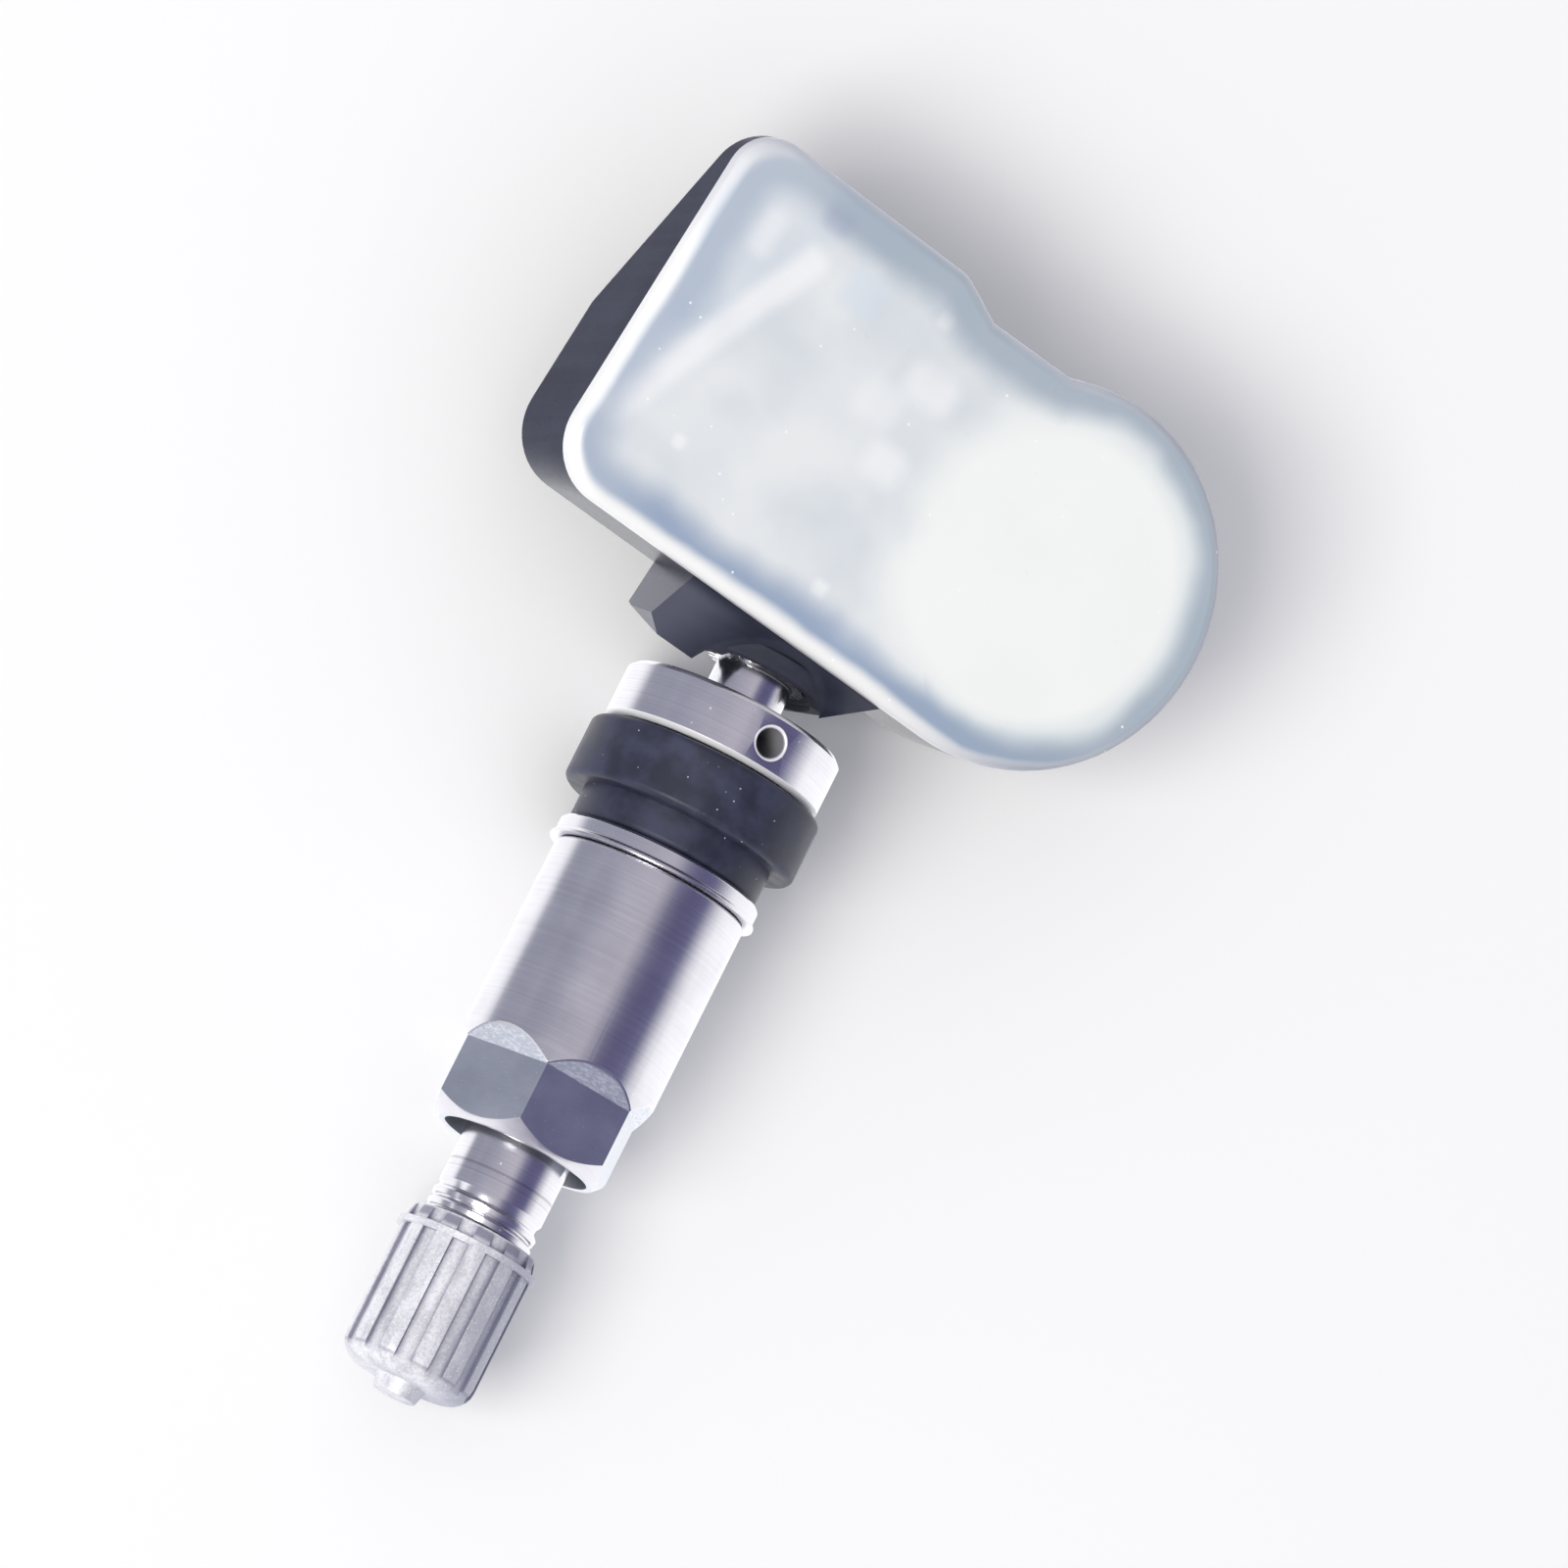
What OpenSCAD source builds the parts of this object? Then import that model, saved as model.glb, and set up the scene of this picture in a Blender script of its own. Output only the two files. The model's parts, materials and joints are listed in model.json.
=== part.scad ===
// Tyre pressure sensor with a clamp-in valve, millimetres.
// The valve lies along Y with its cap towards -Y. The origin is on the valve's axis, in the plane of
// the grommet's shoulder that seats on the inside of the rim. +Z points towards the potted face.

/* [Valve stem] */
// Diameter of the neck between the collar and the housing
neck_d = 5.4; // [4.8:0.1:5.8]
// Radius of the ball surface under the neck's foot
ball_r = 5.5; // [5.2:0.1:6.2]
// Diameter of the neck's foot
foot_d = 7; // [6.4:0.1:7.4]
// Thickness of the foot at its rim
foot_rim_t = 0.55; // [0.4:0.05:0.8]
// Distance from the collar to the foot's upper face
foot_drop = 3; // [2.6:0.1:3.4]
// Number of small teeth round the foot
foot_teeth = 24; // [12:2:36]
// Diameter of the collar
collar_d = 15.65; // [14:0.05:17]
// Thickness of the collar
collar_t = 4.1; // [3.4:0.1:5]
// Diameter of the holding pin's hole in the collar
pin_hole_d = 2; // [1.4:0.1:2.4]
// Diameter of the stem inside the grommet and the nut
stem_d = 9.8; // [9:0.1:10.2]
// Diameter of the shank between the nut and the cap's thread
shank_d = 7.5; // [7.2:0.1:7.7]
// Diameter over the thread under the cap
tip_thread_d = 7.75; // [7.7:0.01:7.9]
// Length of the thread under the cap
tip_thread_l = 11.2; // [10:0.1:12]
// Length of the plain shank from the large stem to the cap's thread
shank_l = 11.25; // [10.5:0.05:13]
// Diameter of the air passage
air_d = 3.2; // [2.6:0.1:3.6]

/* [Grommet, washer and nut] */
// Diameter of the grommet's flange
flange_d = 16.8; // [16:0.1:18]
// Thickness of the grommet's flange
flange_t = 4.6; // [3.5:0.1:6]
// Diameter of the grommet's neck that fills the hole in the rim
grommet_neck_d = 13.7; // [12.5:0.1:14]
// Length of the grommet's neck
grommet_neck_l = 2.4; // [1.8:0.1:4]
// Rounding of the grommet's edges
grommet_round = 0.5; // [0.2:0.05:0.8]
// Diameter of the washer under the nut
washer_d = 14.6; // [14:0.1:15.4]
// Thickness of the washer
washer_t = 1.45; // [1:0.05:2]
// Diameter of the nut's sleeve
sleeve_d = 13.9; // [13:0.1:14.4]
// Length of the nut's sleeve up to the hexagon
sleeve_l = 13.5; // [12:0.5:18]
// Distance across the hexagon's flats
hex_af = 11.9; // [11.2:0.1:11.9]
// Length of the hexagon with its run-out
hex_l = 6.75; // [5.5:0.05:8]
// Length of the slanted run-out at the sleeve's end of each flat
run_out = 1.5; // [0.8:0.1:2]
// Diameter of the counterbore in the nut's outer end
nut_counterbore_d = 10.45; // [10.3:0.05:11]
// Angle at which the hexagon stands
hex_turn = 29; // [0:1:60]

/* [Cap] */
// Diameter of the cap's body over its ribs
cap_d = 9.4; // [9:0.1:10.4]
// Diameter of the cap's rim flange
cap_flange_d = 10; // [9.6:0.1:11]
// Thickness of the rim flange
cap_flange_t = 0.45; // [0.3:0.05:0.9]
// Height of the notched cone below the rim flange
cap_cone_h = 1.1; // [0.8:0.1:1.8]
// Diameter of the cap's open end
cap_mouth_d = 8.8; // [8.7:0.05:9.2]
// Length of the cap from its mouth to its rounded end
cap_l = 11.1; // [10.6:0.1:13]
// Number of ribs on the cap
cap_ribs = 12; // [8:1:16]
// Depth of the grooves between the ribs
cap_groove = 0.35; // [0.15:0.05:0.4]
// Diameter of the small boss on the cap's end
cap_boss_d = 3.6; // [2.5:0.1:4.5]
// Height of that boss
cap_boss_h = 1; // [0.5:0.1:1.6]

/* [Valve core] */
// Diameter of the core's threaded plug
plug_d = 5.1; // [4.8:0.05:5.2]
// Length of the core's threaded plug
plug_l = 3.6; // [3:0.1:4.4]
// Diameter of the core's barrel
barrel_d = 3; // [2.6:0.1:3.2]
// Length of the core's barrel below the plug
barrel_l = 5.4; // [4.6:0.1:6]
// Diameter of the core's pin
core_pin_d = 0.9; // [0.7:0.05:1]

/* [Housing] */
// Length of the housing
housing_l = 46.8; // [45:0.2:50]
// Radius of the round battery end
end_r = 13.25; // [13:0.05:14]
// Distance from the round end's centre line to the edge away from the valve
far_edge = 13.9; // [13.6:0.1:15]
// Distance from the round end's centre line to the waist
waist_edge = 12.1; // [11.6:0.1:12.6]
// Distance from the square end to where the waist starts
waist_start = 21.3; // [20:0.1:22]
// Corner radius at the square end, valve side
near_corner_r = 4.3; // [3:0.1:5]
// Corner radius at the square end, far side
far_corner_r = 3; // [2:0.1:4]
// Height of the housing from its back to the cover's face
housing_h = 9.9; // [9.7:0.1:10.8]
// Thickness of the cover
cover_t = 1.8; // [1.2:0.1:2]
// Rounding of the cover's edge
cover_round = 0.9; // [0.4:0.1:1.1]
// Wall of the tray
wall = 1.4; // [1:0.1:1.8]
// Height of the tray at its far edge
far_h = 0.6; // [0.5:0.1:1.2]
// Height of the tray at the far edge of the round end, which holds the cell
cell_far_h = 2.8; // [2.6:0.1:4]
// Floor of the tray under the sloping back
floor_t = 0.9; // [0.7:0.1:1]
// Width of the flat part of the back, from the edge by the valve
back_flat = 12; // [10:0.5:14]

/* [Bracket and seat] */
// Width of the bracket where it leaves the housing
bracket_w = 16.5; // [15:0.5:18]
// Reach of the bracket from the housing's edge
bracket_reach = 4.3; // [3.8:0.1:4.6]
// Depth below the cover's face at which the bracket's slope starts
slope_top = 2.2; // [1.9:0.1:3]
// Depth below the cover's face at which the slope ends
slope_end = 6; // [5.4:0.1:7]
// Wall of the bracket between the two ball surfaces
seat_wall = 2; // [1.6:0.1:2.2]
// Radius of the dish round the foot
dish_r = 4.3; // [4.1:0.1:4.8]
// Distance of the valve's axis from the square end
axis_x = 23.4; // [21:0.1:25]
// Depth of the valve's axis below the cover's face, at the collar
axis_depth = 6.8; // [6.6:0.1:7.2]
// Distance from the housing's edge to the collar
collar_gap = 5.6; // [5.4:0.1:6.4]
// Tilt of the housing as it is clamped
pitch = 7.9; // [0:0.1:10]
// Swing of the housing as it is clamped
yaw = 3.7; // [0:0.1:6]
// Free tilt either way on the ball seat
tilt_free = 8; // [5:1:9]

/* [Electronics] */
// Diameter of the coin cell
cell_d = 20; // [19:0.5:20.5]
// Thickness of the coin cell
cell_t = 2.5; // [1.6:0.1:2.6]
// Thickness of the circuit board
board_t = 0.8; // [0.6:0.1:1]
// Space between the board and the cover
board_headroom = 1.2; // [1.1:0.1:1.4]

/* [Fits] */
// Radial clearance of a part that turns or slides on another
running = 0.07; // [0.03:0.01:0.1]
// Clearance between flat faces that part from each other
face_gap = 0.05; // [0.02:0.01:0.1]
// Clearance round the board, the cell and the cover's lip
loose = 0.2; // [0.1:0.05:0.3]

/* [Hidden] */
$fn = 64;
eps = 0.01;
past = 1;

// Stations along the valve, counted from the collar's face towards the cap
shoulder_t = 0.2;
shoulder_w = 1;
flange_start = collar_t + shoulder_t;
rim_seat = flange_start + flange_t;
washer_start = rim_seat + grommet_neck_l + face_gap;
nut_start = washer_start + washer_t + face_gap;
hex_start = nut_start + sleeve_l;
nut_end = hex_start + hex_l;
counterbore_over = 0.8;
stem_end = hex_start - counterbore_over;
thread_start = stem_end + shank_l;
tip = thread_start + tip_thread_l;
cap_seal_t = 0.7;
cap_seal_start = tip + face_gap;
cap_roof = cap_seal_start + cap_seal_t + face_gap;
cap_wall = 1.4;
cap_end = cap_roof + cap_wall;
cap_start = cap_end - cap_l;

// Stations of the ball seat, whose centre lies on the valve's axis
foot_r = foot_d / 2;
foot_sag = ball_r - sqrt(ball_r * ball_r - foot_r * foot_r);
foot_end = -foot_drop - foot_rim_t - foot_sag;
ball_s = foot_end + ball_r;
dish_ball_r = ball_r + running;
back_ball_r = dish_ball_r + seat_wall;
washer_ball_r = back_ball_r + running;
seat_washer_t = 1;
dish_step = 0.8;
dish_step_t = 0.5;
seat_washer_r = 2.5;
seat_washer_back = ball_s - washer_ball_r - seat_washer_t;
screw_r = 1.25;
screw_head_r = 2;
screw_head_h = 1.7;
screw_socket_af = 1.9;
screw_socket_depth = 1;
screw_start = seat_washer_back - face_gap - screw_head_h;
seat_slot_r = screw_r + 0.25;
screw_head_way = 0.4;
driver_way = 30;
screw_edge = 0.3;
tapped_depth = 0.3;
foot_tooth_w = 0.3;
foot_tooth_l = 0.5;
foot_tooth_depth = 0.25;

// Valve core, counted the same way
air_floor = collar_t / 2 - 0.6;
plug_sunk = 0.5;
pin_sunk = 0.1;
pin_clearance = 0.25;
pin_chamfer = 0.1;
plug_bore_r = plug_d / 2 + running;
plug_top = tip - plug_sunk;
plug_bottom = plug_top - plug_l;
barrel_bottom = plug_bottom - barrel_l;
seal_t = 1.5;
seal_top = plug_bottom - face_gap;
seal_bottom = seal_top - seal_t;
core_seat_l = 1;
spring_chamber_r = 1.35;
spring_r = 1;
spring_wire = 0.22;
spring_turns = 5;
pin_top = tip - pin_sunk;
pin_collar_r = 1.15;
pin_collar_t = 0.3;
pin_collar_s = plug_top - pin_sunk;
cup_r = 1.35;
cup_t = 1;
cup_edge = 0.3;
cup_top = barrel_bottom - face_gap;
spring_floor_t = 0.4;
spring_floor = plug_bottom + spring_floor_t;
key_flat = 1.7;
key_depth = 1.2;

// Heights in the housing, whose own zero is the cover's face
tray_top = -cover_t;
board_top = tray_top - board_headroom;
board_bottom = board_top - board_t;
cell_top = tray_top - 0.4;
cell_bottom = cell_top - cell_t;
pocket_roof = board_bottom - 0.7;
pocket_half_w = seat_washer_r + 0.6;
pocket_l = 5;
pocket_x = axis_x - (collar_gap + pocket_l / 2) * tan(yaw);
part_gap = 0.02;
chip_size = [5, 5, 1.6];
seal_ring_t = 1;
well_bottom = board_bottom - chip_size.z - seal_ring_t - 2 * part_gap;
well_size = [11, 10];
port_r = 0.6;
filter_r = 1.7;
filter_t = 0.3;
filter_sunk = 0.2;

// Rounded corners of the housing's outline: centre and radius, anticlockwise
end_x = housing_l - end_r;
near_dip = 0.25;
near_edge = -end_r + near_dip;
cell_edge = end_x - cell_d / 2;
near_corner = [near_corner_r + 0.2, near_edge + near_corner_r, near_corner_r];
far_corner = [far_corner_r - 0.2, far_edge - far_corner_r + 0.1, far_corner_r];
step_r = 3;
slope_n = 65;
step_y = far_edge - step_r - 0.2;
step_x = waist_start + ((waist_edge - step_y) * sin(slope_n) - step_r) / cos(slope_n);
step_corner = [step_x, step_y, step_r];
round_end = [end_x, 0, end_r];

// Bracket: how far its middle lies off the valve's axis, its cut corner, its slanted side and undercut
bracket_off = 1.35;
bracket_cut = [1.5, 0.9];
bracket_side = 3.9;
bracket_undercut = 1.1;

// Places and sizes on the board, in the housing's own frame
chip_at = [cell_edge - 4.15, 0];
coil_at = [cell_edge - 3.95, 5.9];
crystal_at = [cell_edge - 3.15, -9.3];
pressure_at = [11.5, -2.6];
stake_at = [cell_edge - 11.45, 7.3];
stake_r = 1.6;
stake_head = 0.5;
stake_head_t = 0.6;
board_far = 9.2;
board_slant = [2.3, 8];
board_side_gap = 1.1;
cell_room = 0.6;
controller_size = [2.8, 2.6, 0.9];
coil_size = [3.9, 2.6, 1];
crystal_r = 0.7;
crystal_h = 0.7;
capacitor_size = [1.2, 0.7, 0.6];
capacitors_at = [[-7.75, 7], [-8.55, 3.2], [-7.55, -5.5], [-11.55, -6.5], [-14.55, 3]];
tab_t = 0.15;
tab_w = 2.4;
tab_y = 2.9;
tab_foot = [3.4, 1.2];
tab_reach = 6;
lower_tab_size = [2.2, 2.4];
lower_tab_at = [2.6, -5.6];

// Direction of the outward normal of a band drawn taut from one round corner to the next
function band_normal(a, b) =
    let(go = [b.x - a.x, b.y - a.y])
    (atan2(go.y, go.x) + 270 + asin((a.z - b.z) / norm(go))) % 360;

function arc(c, inset, from, to, steps) =
    [for (k = [0:steps]) let(a = from + (to - from) * k / steps)
        [c.x + (c.z - inset) * cos(a), c.y + (c.z - inset) * sin(a)]];

// The outline pulled in all round by inset, anticlockwise from the start of the round end
function outline_points(inset) =
    let(
        near_n = band_normal(near_corner, round_end),
        far_n = band_normal(step_corner, far_corner),
        left_n = band_normal(far_corner, near_corner),
        dip = 180 - asin((waist_edge - inset) / (end_r - inset)),
        slope_reach = step_x * cos(slope_n) + step_y * sin(slope_n) + step_r - inset,
        slope_x = (slope_reach - (waist_edge - inset) * sin(slope_n)) / cos(slope_n)
    )
    concat(
        arc(round_end, inset, near_n - 360, dip, 44),
        [[slope_x, waist_edge - inset]],
        arc(step_corner, inset, slope_n, far_n, 4),
        arc(far_corner, inset, far_n, left_n, 12),
        arc(near_corner, inset, left_n, near_n, 12)
    );

module outline(inset = 0) {
    polygon(outline_points(inset));
}

// Puts a shape drawn up the Z axis onto the valve's axis, its zero at the collar
module on_valve() {
    translate([0, rim_seat, 0]) rotate([90, 0, 0]) children();
}

// Puts a shape drawn in the housing's own frame where the housing is clamped
module in_housing() {
    translate([0, rim_seat, 0]) rotate([0, 0, -yaw]) rotate([pitch, 0, 0])
        translate([-axis_x, collar_gap - near_edge, axis_depth]) children();
}

module turned(points) {
    rotate_extrude() polygon(points);
}

module rod(r, from, to) {
    translate([0, 0, from]) cylinder(r = r, h = to - from);
}

module at_ball() {
    translate([0, 0, ball_s]) children();
}

module hexagon_prism(af, from, to) {
    translate([0, 0, from]) cylinder(r = af / 2 / cos(30), h = to - from, $fn = 6);
}

// Valve

module foot_solid() {
    intersection() {
        at_ball() sphere(ball_r, $fn = 96);
        rod(foot_r, foot_end - past, -foot_drop);
    }
}

module stem_outside() {
    chamfer = 0.35;
    thread_r = tip_thread_d / 2;
    collar_r = collar_d / 2;
    turned([
        [0, -foot_drop - eps], [neck_d / 2, -foot_drop - eps], [neck_d / 2, 0],
        [collar_r - chamfer, 0], [collar_r, chamfer], [collar_r, collar_t - chamfer],
        [collar_r - chamfer, collar_t], [stem_d / 2 + shoulder_w, collar_t],
        [stem_d / 2 + shoulder_w, flange_start],
        [stem_d / 2, flange_start], [stem_d / 2, stem_end - chamfer], [stem_d / 2 - chamfer, stem_end],
        [shank_d / 2, stem_end], [shank_d / 2, thread_start], [thread_r, thread_start + chamfer],
        [thread_r, tip - chamfer], [thread_r - chamfer, tip], [0, tip]
    ]);
}

module stem_bore() {
    turned([
        [0, air_floor], [air_d / 2, air_floor], [air_d / 2, seal_bottom - core_seat_l],
        [plug_bore_r, seal_bottom], [plug_bore_r, tip + past], [0, tip + past]
    ]);
}

module valve_stem() {
    hole_r = pin_hole_d / 2;
    lip = 0.2;
    color("silver") on_valve() difference() {
        union() {
            foot_solid();
            stem_outside();
        }
        stem_bore();
        rod(screw_r + running, foot_end - past, tapped_depth);
        translate([0, 0, collar_t / 2]) rotate([-90, 0, 0]) cylinder(r = hole_r, h = collar_d);
        translate([0, collar_d / 2 - lip, collar_t / 2]) rotate([-90, 0, 0])
            cylinder(r1 = hole_r, r2 = hole_r + 2 * lip, h = 2 * lip);
        for (i = [0:foot_teeth - 1]) rotate(i * 360 / foot_teeth)
            translate([foot_r - foot_tooth_l, -foot_tooth_w / 2, -foot_drop - foot_tooth_depth])
                cube([past, foot_tooth_w, foot_tooth_depth + eps]);
    }
}

module rounded_ring(inner_r, outer_r, from, to, r_low, r_high) {
    rotate_extrude() difference() {
        translate([inner_r, from]) square([outer_r - inner_r, to - from]);
        translate([outer_r - r_low, from]) difference() {
            translate([0, -eps]) square([r_low + eps, r_low + eps]);
            translate([0, r_low]) circle(r_low);
        }
        translate([outer_r - r_high, to - r_high]) difference() {
            square([r_high + eps, r_high + eps]);
            circle(r_high);
        }
    }
}

module grommet() {
    inner_r = stem_d / 2;
    color([0.16, 0.18, 0.24]) on_valve() {
        rounded_ring(inner_r, flange_d / 2, flange_start, rim_seat, grommet_round, grommet_round);
        rounded_ring(inner_r, grommet_neck_d / 2, rim_seat - past, rim_seat + grommet_neck_l, eps, grommet_round);
    }
}

module nut_washer() {
    lip = 0.2;
    r = washer_d / 2;
    top = washer_start + washer_t;
    color([0.8, 0.8, 0.82]) on_valve() turned([
        [stem_d / 2 + running, washer_start], [r - lip, washer_start], [r, washer_start + lip],
        [r, top - 2 * lip], [r + lip, top - lip], [r + lip, top], [stem_d / 2 + running, top]
    ]);
}

module hex_nut() {
    sleeve_r = sleeve_d / 2;
    flat_r = hex_af / 2;
    run_out_slope = run_out / (sleeve_r - flat_r);
    chamfer = 1.3;
    edge = 0.2;
    color([0.72, 0.72, 0.76]) on_valve() difference() {
        turned([
            [0, nut_start], [sleeve_r - edge, nut_start], [sleeve_r, nut_start + edge],
            [sleeve_r, nut_end - chamfer], [sleeve_r - chamfer, nut_end], [0, nut_end]
        ]);
        for (i = [0:5]) rotate(hex_turn + i * 60) translate([0, sleeve_r, 0]) rotate([90, 0, 0])
            linear_extrude(2 * sleeve_r) polygon([
                [flat_r, hex_start + run_out], [flat_r, nut_end + past], [sleeve_r + past, nut_end + past],
                [sleeve_r + past, hex_start + run_out - (sleeve_r + past - flat_r) * run_out_slope]
            ]);
        rod(stem_d / 2 + running, nut_start - past, stem_end + past);
        rod(nut_counterbore_d / 2, stem_end, nut_end + past);
    }
}

// Cap

module cap_outside() {
    body_r = cap_d / 2;
    flange_s = cap_start + cap_cone_h;
    flange_top = flange_s + cap_flange_t;
    end_round = 1.5;
    crown = cap_end - end_round;
    turned([
        [0, cap_start], [cap_mouth_d / 2, cap_start], [cap_flange_d / 2 - 0.3, flange_s],
        [cap_flange_d / 2, flange_s], [cap_flange_d / 2, flange_top], [body_r, flange_top],
        [body_r, crown],
        for (a = [15:15:75]) [body_r - end_round * (1 - cos(a)), crown + end_round * sin(a)],
        [body_r - end_round, cap_end], [0, cap_end]
    ]);
}

module cap_boss() {
    taper = 0.3;
    translate([0, 0, cap_end - eps])
        cylinder(r1 = cap_boss_d / 2, r2 = cap_boss_d / 2 - taper, h = cap_boss_h + eps);
}

module cap_grooves() {
    pitch_angle = 360 / cap_ribs;
    groove_w = PI * cap_d / cap_ribs / 2;
    groove_start = cap_start + cap_cone_h + cap_flange_t;
    for (i = [0:cap_ribs - 1]) rotate(i * pitch_angle) {
        translate([cap_d / 2 - cap_groove, -groove_w / 2, groove_start])
            cube([cap_d, groove_w, cap_l]);
        translate([cap_mouth_d / 2 - 0.05, -groove_w / 2, cap_start - past])
            cube([cap_d, groove_w, cap_cone_h + past - 0.1]);
    }
}

module valve_cap() {
    color([0.75, 0.75, 0.78]) on_valve() difference() {
        union() {
            difference() {
                cap_outside();
                cap_grooves();
            }
            cap_boss();
        }
        rod(tip_thread_d / 2 + running, cap_start - past, cap_roof);
    }
}

module cap_seal() {
    color([0.2, 0.2, 0.22]) on_valve() difference() {
        rod(tip_thread_d / 2 - 0.15, cap_seal_start, cap_seal_start + cap_seal_t);
        rod(plug_d / 2 - 0.4, cap_seal_start - past, cap_seal_start + cap_seal_t + past);
    }
}

// Valve core

module core_body() {
    r = plug_d / 2;
    b = barrel_d / 2;
    bore = core_pin_d / 2 + pin_clearance;
    color([0.8, 0.66, 0.35]) on_valve() difference() {
        turned([
            [bore, barrel_bottom], [b, barrel_bottom], [b, seal_bottom - face_gap],
            [b, plug_bottom], [r, plug_bottom], [r, plug_top], [spring_chamber_r, plug_top],
            [spring_chamber_r, spring_floor], [bore, spring_floor]
        ]);
        for (side = [0, 180]) rotate(side)
            translate([key_flat, -r - past, plug_top - key_depth])
                cube([r, 2 * r + 2 * past, key_depth + past]);
    }
}

module core_seal() {
    r = plug_bore_r - part_gap;
    color([0.9, 0.9, 0.85]) on_valve() turned([
        [barrel_d / 2, seal_bottom], [r, seal_bottom], [r, seal_top], [barrel_d / 2, seal_top]
    ]);
}

module core_pin() {
    p = core_pin_d / 2;
    color([0.82, 0.7, 0.4]) on_valve() turned([
        [0, cup_top - cup_t], [cup_r - cup_edge, cup_top - cup_t], [cup_r, cup_top - cup_t + cup_edge],
        [cup_r, cup_top], [p, cup_top], [p, pin_collar_s - pin_collar_t],
        [pin_collar_r, pin_collar_s - pin_collar_t], [pin_collar_r, pin_collar_s],
        [p, pin_collar_s], [p, pin_top - pin_chamfer], [p - pin_chamfer, pin_top], [0, pin_top]
    ]);
}

// The spring's closed coil is swept as stacked rings, each a turn of wire
module core_spring() {
    low = spring_floor + spring_wire / 2;
    high = pin_collar_s - pin_collar_t - spring_wire / 2 - face_gap;
    step = (high - low) / spring_turns;
    steps = 10;
    sides = 6;
    rings = spring_turns * steps;
    function ring(i) =
        let(a = 360 * i / steps, z = low + step * i / steps)
        [for (k = [0:sides - 1]) let(t = 360 * k / sides, rr = spring_r + spring_wire / 2 * cos(t))
            [rr * cos(a), rr * sin(a), z + spring_wire / 2 * sin(t)]];
    points = [for (i = [0:rings]) each ring(i)];
    skin = [for (i = [0:rings - 1], k = [0:sides - 1])
        [i * sides + k, i * sides + (k + 1) % sides, (i + 1) * sides + (k + 1) % sides, (i + 1) * sides + k]];
    faces = [for (f = skin) [f[3], f[2], f[1], f[0]]];
    color([0.7, 0.7, 0.7]) on_valve() polyhedron(points,
        concat(faces, [[for (k = [0:sides - 1]) k]], [[for (k = [0:sides - 1]) rings * sides + sides - 1 - k]]));
}

// Ball seat

module fixing_screw() {
    tip_s = tapped_depth - screw_edge;
    head_top = screw_start + screw_head_h;
    color([0.6, 0.6, 0.63]) on_valve() difference() {
        turned([
            [0, screw_start], [screw_head_r - screw_edge, screw_start],
            [screw_head_r, screw_start + screw_edge], [screw_head_r, head_top], [screw_r, head_top],
            [screw_r, tip_s - screw_edge], [screw_r - screw_edge, tip_s], [0, tip_s]
        ]);
        hexagon_prism(screw_socket_af, screw_start - past, screw_start + screw_socket_depth);
    }
}

module seat_washer() {
    color([0.66, 0.66, 0.7]) on_valve() difference() {
        rod(seat_washer_r, seat_washer_back, ball_s - washer_ball_r + seat_washer_t);
        at_ball() sphere(washer_ball_r, $fn = 96);
        rod(screw_r + running, seat_washer_back - past, ball_s);
    }
}

// Housing

// Everything above the tray's back, whose far half slopes up to the edge
module above_back(from_x, far_height, floor_up) {
    flat_edge = -end_r + back_flat;
    far_y = far_edge + 0.3;
    rise = (housing_h - cover_t - far_height) / (far_y - flat_edge);
    bottom = floor_up - housing_h;
    translate([from_x, 0, 0]) rotate([90, 0, 90]) linear_extrude(housing_l + past - from_x) polygon([
        [-end_r - bracket_reach - past, past], [-end_r - bracket_reach - past, bottom],
        [flat_edge, bottom], [far_y + past, bottom + rise * (far_y + past - flat_edge)],
        [far_y + past, past]
    ]);
}

// The back falls lower across the round end, where the cell lies
module tray_space(floor_up, side_in) {
    above_back(-past, far_h, floor_up);
    above_back(cell_edge - 2 * wall + side_in, cell_far_h, floor_up);
}

module bracket_solid() {
    from_x = axis_x - bracket_off - bracket_w / 2;
    to_x = from_x + bracket_w;
    front = near_edge - bracket_reach;
    intersection() {
        translate([0, 0, -housing_h]) linear_extrude(housing_h - slope_top + past) polygon([
            [from_x, near_edge + wall], [from_x, front + bracket_cut.y], [from_x + bracket_cut.x, front],
            [to_x - bracket_side, front], [to_x, near_edge], [to_x, near_edge + wall]
        ]);
        rotate([90, 0, 90]) linear_extrude(housing_l) polygon([
            [near_edge + wall, -housing_h], [front + bracket_undercut, -housing_h],
            [front, -slope_end], [near_edge, -slope_top], [near_edge + wall, -slope_top]
        ]);
    }
}

module tray_cavity() {
    intersection() {
        union() {
            translate([0, 0, board_bottom]) linear_extrude(housing_h) outline(wall);
            translate([end_x, 0, cell_bottom]) cylinder(r = cell_d / 2 + loose, h = housing_h);
            translate([pressure_at.x - well_size.x / 2, pressure_at.y - well_size.y / 2, well_bottom])
                cube([well_size.x, well_size.y, housing_h]);
        }
        tray_space(floor_t, wall);
    }
    translate([pressure_at.x, pressure_at.y, -housing_h - past]) {
        cylinder(r = port_r, h = housing_h);
        cylinder(r = filter_r, h = filter_t + filter_sunk + past);
    }
}

// Post of the tray whose head is melted over the board
module stake() {
    translate([stake_at.x, stake_at.y, board_bottom - floor_t / 2])
        cylinder(r = stake_r - stake_head, h = floor_t / 2 + board_t + part_gap + eps);
    translate([stake_at.x, stake_at.y, board_top + part_gap]) cylinder(r = stake_r, h = stake_head_t);
}

module screw_pocket() {
    in_housing() translate([pocket_x - pocket_half_w, near_edge + 0.1, -housing_h - past])
        cube([2 * pocket_half_w, pocket_l, housing_h + past + pocket_roof]);
}

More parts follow.
